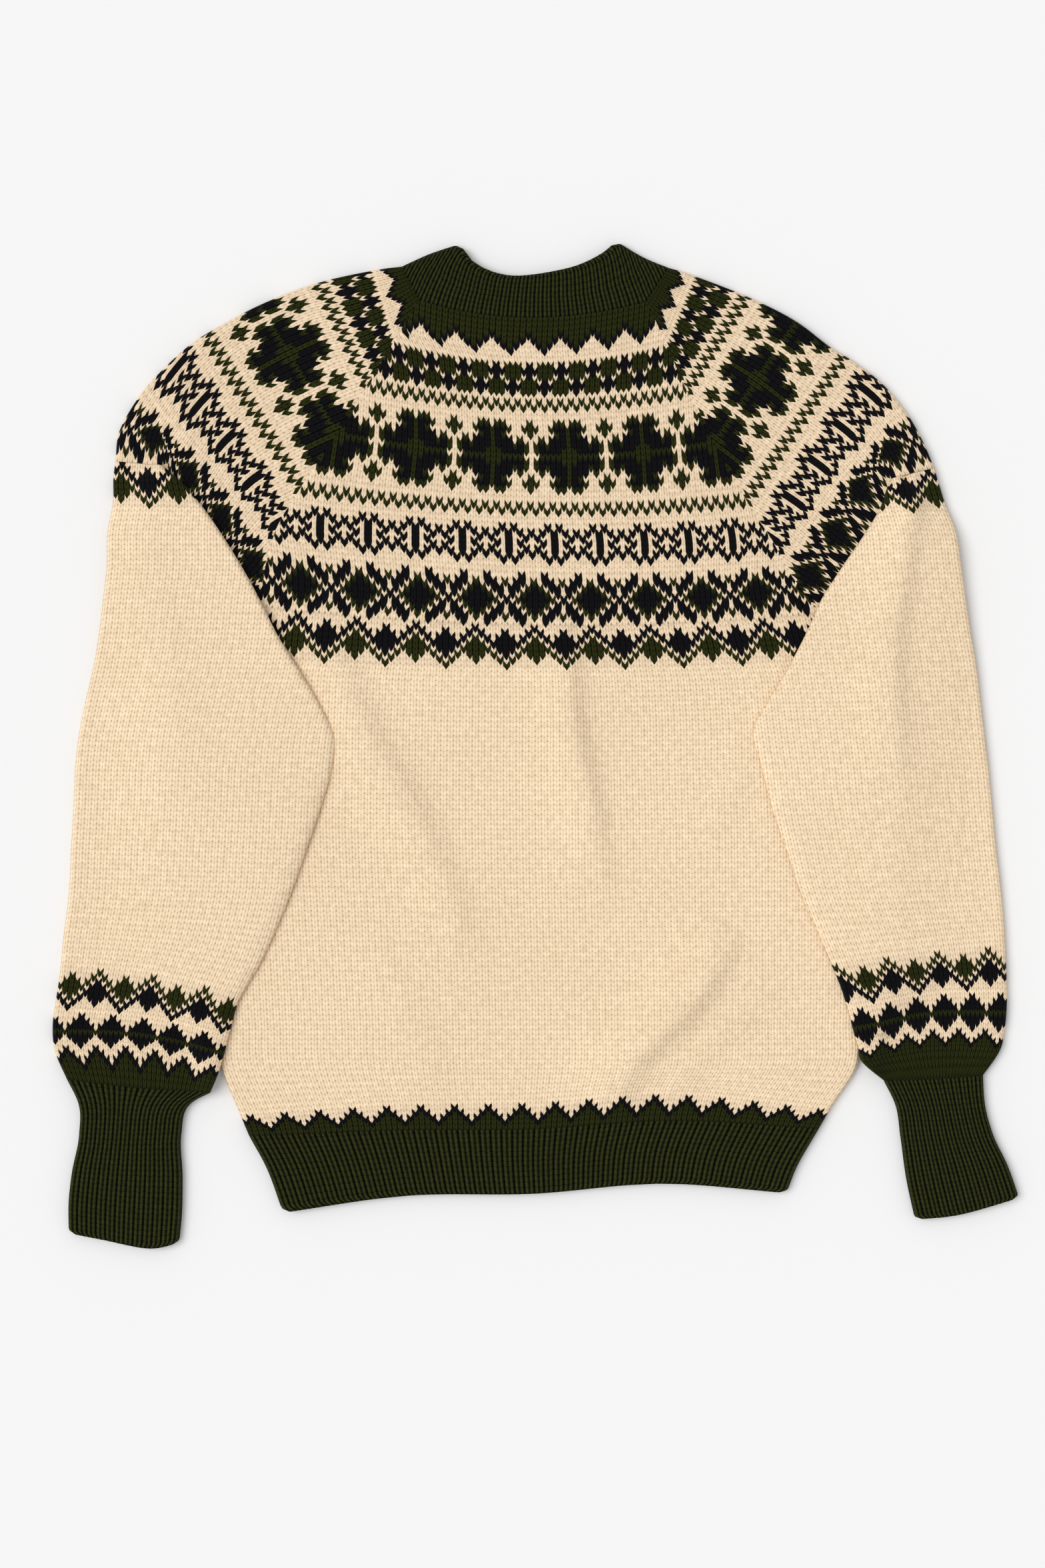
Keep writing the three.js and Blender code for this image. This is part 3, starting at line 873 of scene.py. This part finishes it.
def knit_sleeve(side, name, table, below):
    """A sleeve, its stitches counted from the outer edge. Side: -1 left, 1 right."""
    rows = [row[0] for row in table]
    counts = [row[1] for row in table]
    last = rows[-1]
    edge = constant(0)

    def across(v):
        return hermite(rows, counts, np.ravel(v)).reshape(np.shape(v))

    low, high = (edge, across) if side < 0 else (lambda v: -across(v), edge)
    sleeve = Cloth(name + "_knit")
    sleeve.panel(Panel(
        Plan(rows, [row[2:] for row in table]), low, high, 0, last, sleeve_colours(side),
        offset=0.0, floor=resting(below, side), soft=soft(name), ends=(CREAM, GREEN),
        under_rows=np.concatenate([np.arange(0, 9), np.arange(10, 95, 3), np.arange(97, last + 1)]),
        roll=lambda v: sleeve_roll(side, last, v),
    ), inner_rows=60, inner_columns=20)
    finish_piece(sleeve, PLAIN)


knit_sleeve(-1, "sleeve_left", SLEEVE_LEFT, BELOW_LEFT)
knit_sleeve(1, "sleeve_right", SLEEVE_RIGHT, BELOW_RIGHT)

# Ribs
collar_foot = np.concatenate([
    even([YOKE[0][1], YOKE[0][3]], 12)[:-1],
    even(bowed(*YOKE[0][3:6]), 40),
    even([YOKE[0][5], YOKE[0][7]], 12)[1:],
])


def collar_half(v):
    """Ribs from the collar's middle to its side."""
    return np.interp(v, [0, 4.5, 9], [11.5, 15, 17.5])


def knit_rib(name, table, low, high, floor=on_floor):
    """A ribbed piece. The collar's free edge is its first row, the others' their last."""
    last = table[-1][0]
    collar = name == "collar"
    plan = Plan([row[0] for row in table], [row[1] for row in table], rim=0 if collar else last)
    rib = Cloth(name + "_knit")
    rib.panel(Panel(
        plan, low, high, 0, last, None, offset=0.0, rib=True, relief=1.3, floor=floor,
        seams=(0, SEAM / 2) if collar else (SEAM / 2, 0),
    ), inner_rows=16, inner_columns=12)
    finish_piece(rib, RIBBED)


collar_rows = COLLAR + [(9, collar_foot)]
knit_rib("collar", collar_rows, lambda v: -collar_half(v), collar_half)
knit_rib("hem_rib", HEM, constant(0), constant(52))
knit_rib(
    "cuff_left", CUFF_LEFT, constant(0), constant(12),
    floor=resting(BELOW_LEFT, -1),
)
knit_rib(
    "cuff_right", CUFF_RIGHT, constant(0), constant(12),
    floor=resting(BELOW_RIGHT, 1),
)

# Floor
bpy.ops.mesh.primitive_plane_add(size=60, location=(0, 0, -0.0002))
ground = bpy.context.object
ground.name = "floor"
paper = bpy.data.materials.new("pale_floor")
paper.use_nodes = True
matt = paper.node_tree.nodes["Principled BSDF"]
matt.inputs["Base Color"].default_value = (0.875, 0.875, 0.875, 1)
matt.inputs["Roughness"].default_value = 0.9
ground.data.materials.append(paper)


def soft_sun(name, towards, softness, power):
    data = bpy.data.lights.new(name, "SUN")
    data.angle = softness
    data.energy = power
    light = bpy.data.objects.new(name, data)
    light.rotation_euler = (-Vector(towards)).to_track_quat("-Z", "Y").to_euler()
    bpy.context.scene.collection.objects.link(light)


soft_sun("key", (-1.15, 0.1, 1.7), 0.7, 1.65)
world = bpy.data.worlds.new("studio")
world.use_nodes = True
world.node_tree.nodes["Background"].inputs["Color"].default_value = (1, 1, 1, 1)
world.node_tree.nodes["Background"].inputs["Strength"].default_value = 0.62
bpy.context.scene.world = world
bpy.context.scene.view_settings.view_transform = "Standard"

# Camera, straight down on the photo's middle
HEIGHT = 2.5
PHOTO_HEIGHT = 1.0819  # metres of floor along the photo's longer side
FILM = 36
camera_data = bpy.data.cameras.new("camera")
camera_data.sensor_width = FILM
camera_data.lens = FILM * HEIGHT / PHOTO_HEIGHT
camera_data.clip_end = 50
camera = bpy.data.objects.new("camera", camera_data)
camera.location = (-0.0094, -0.0269, HEIGHT)
bpy.context.scene.collection.objects.link(camera)
bpy.context.scene.camera = camera
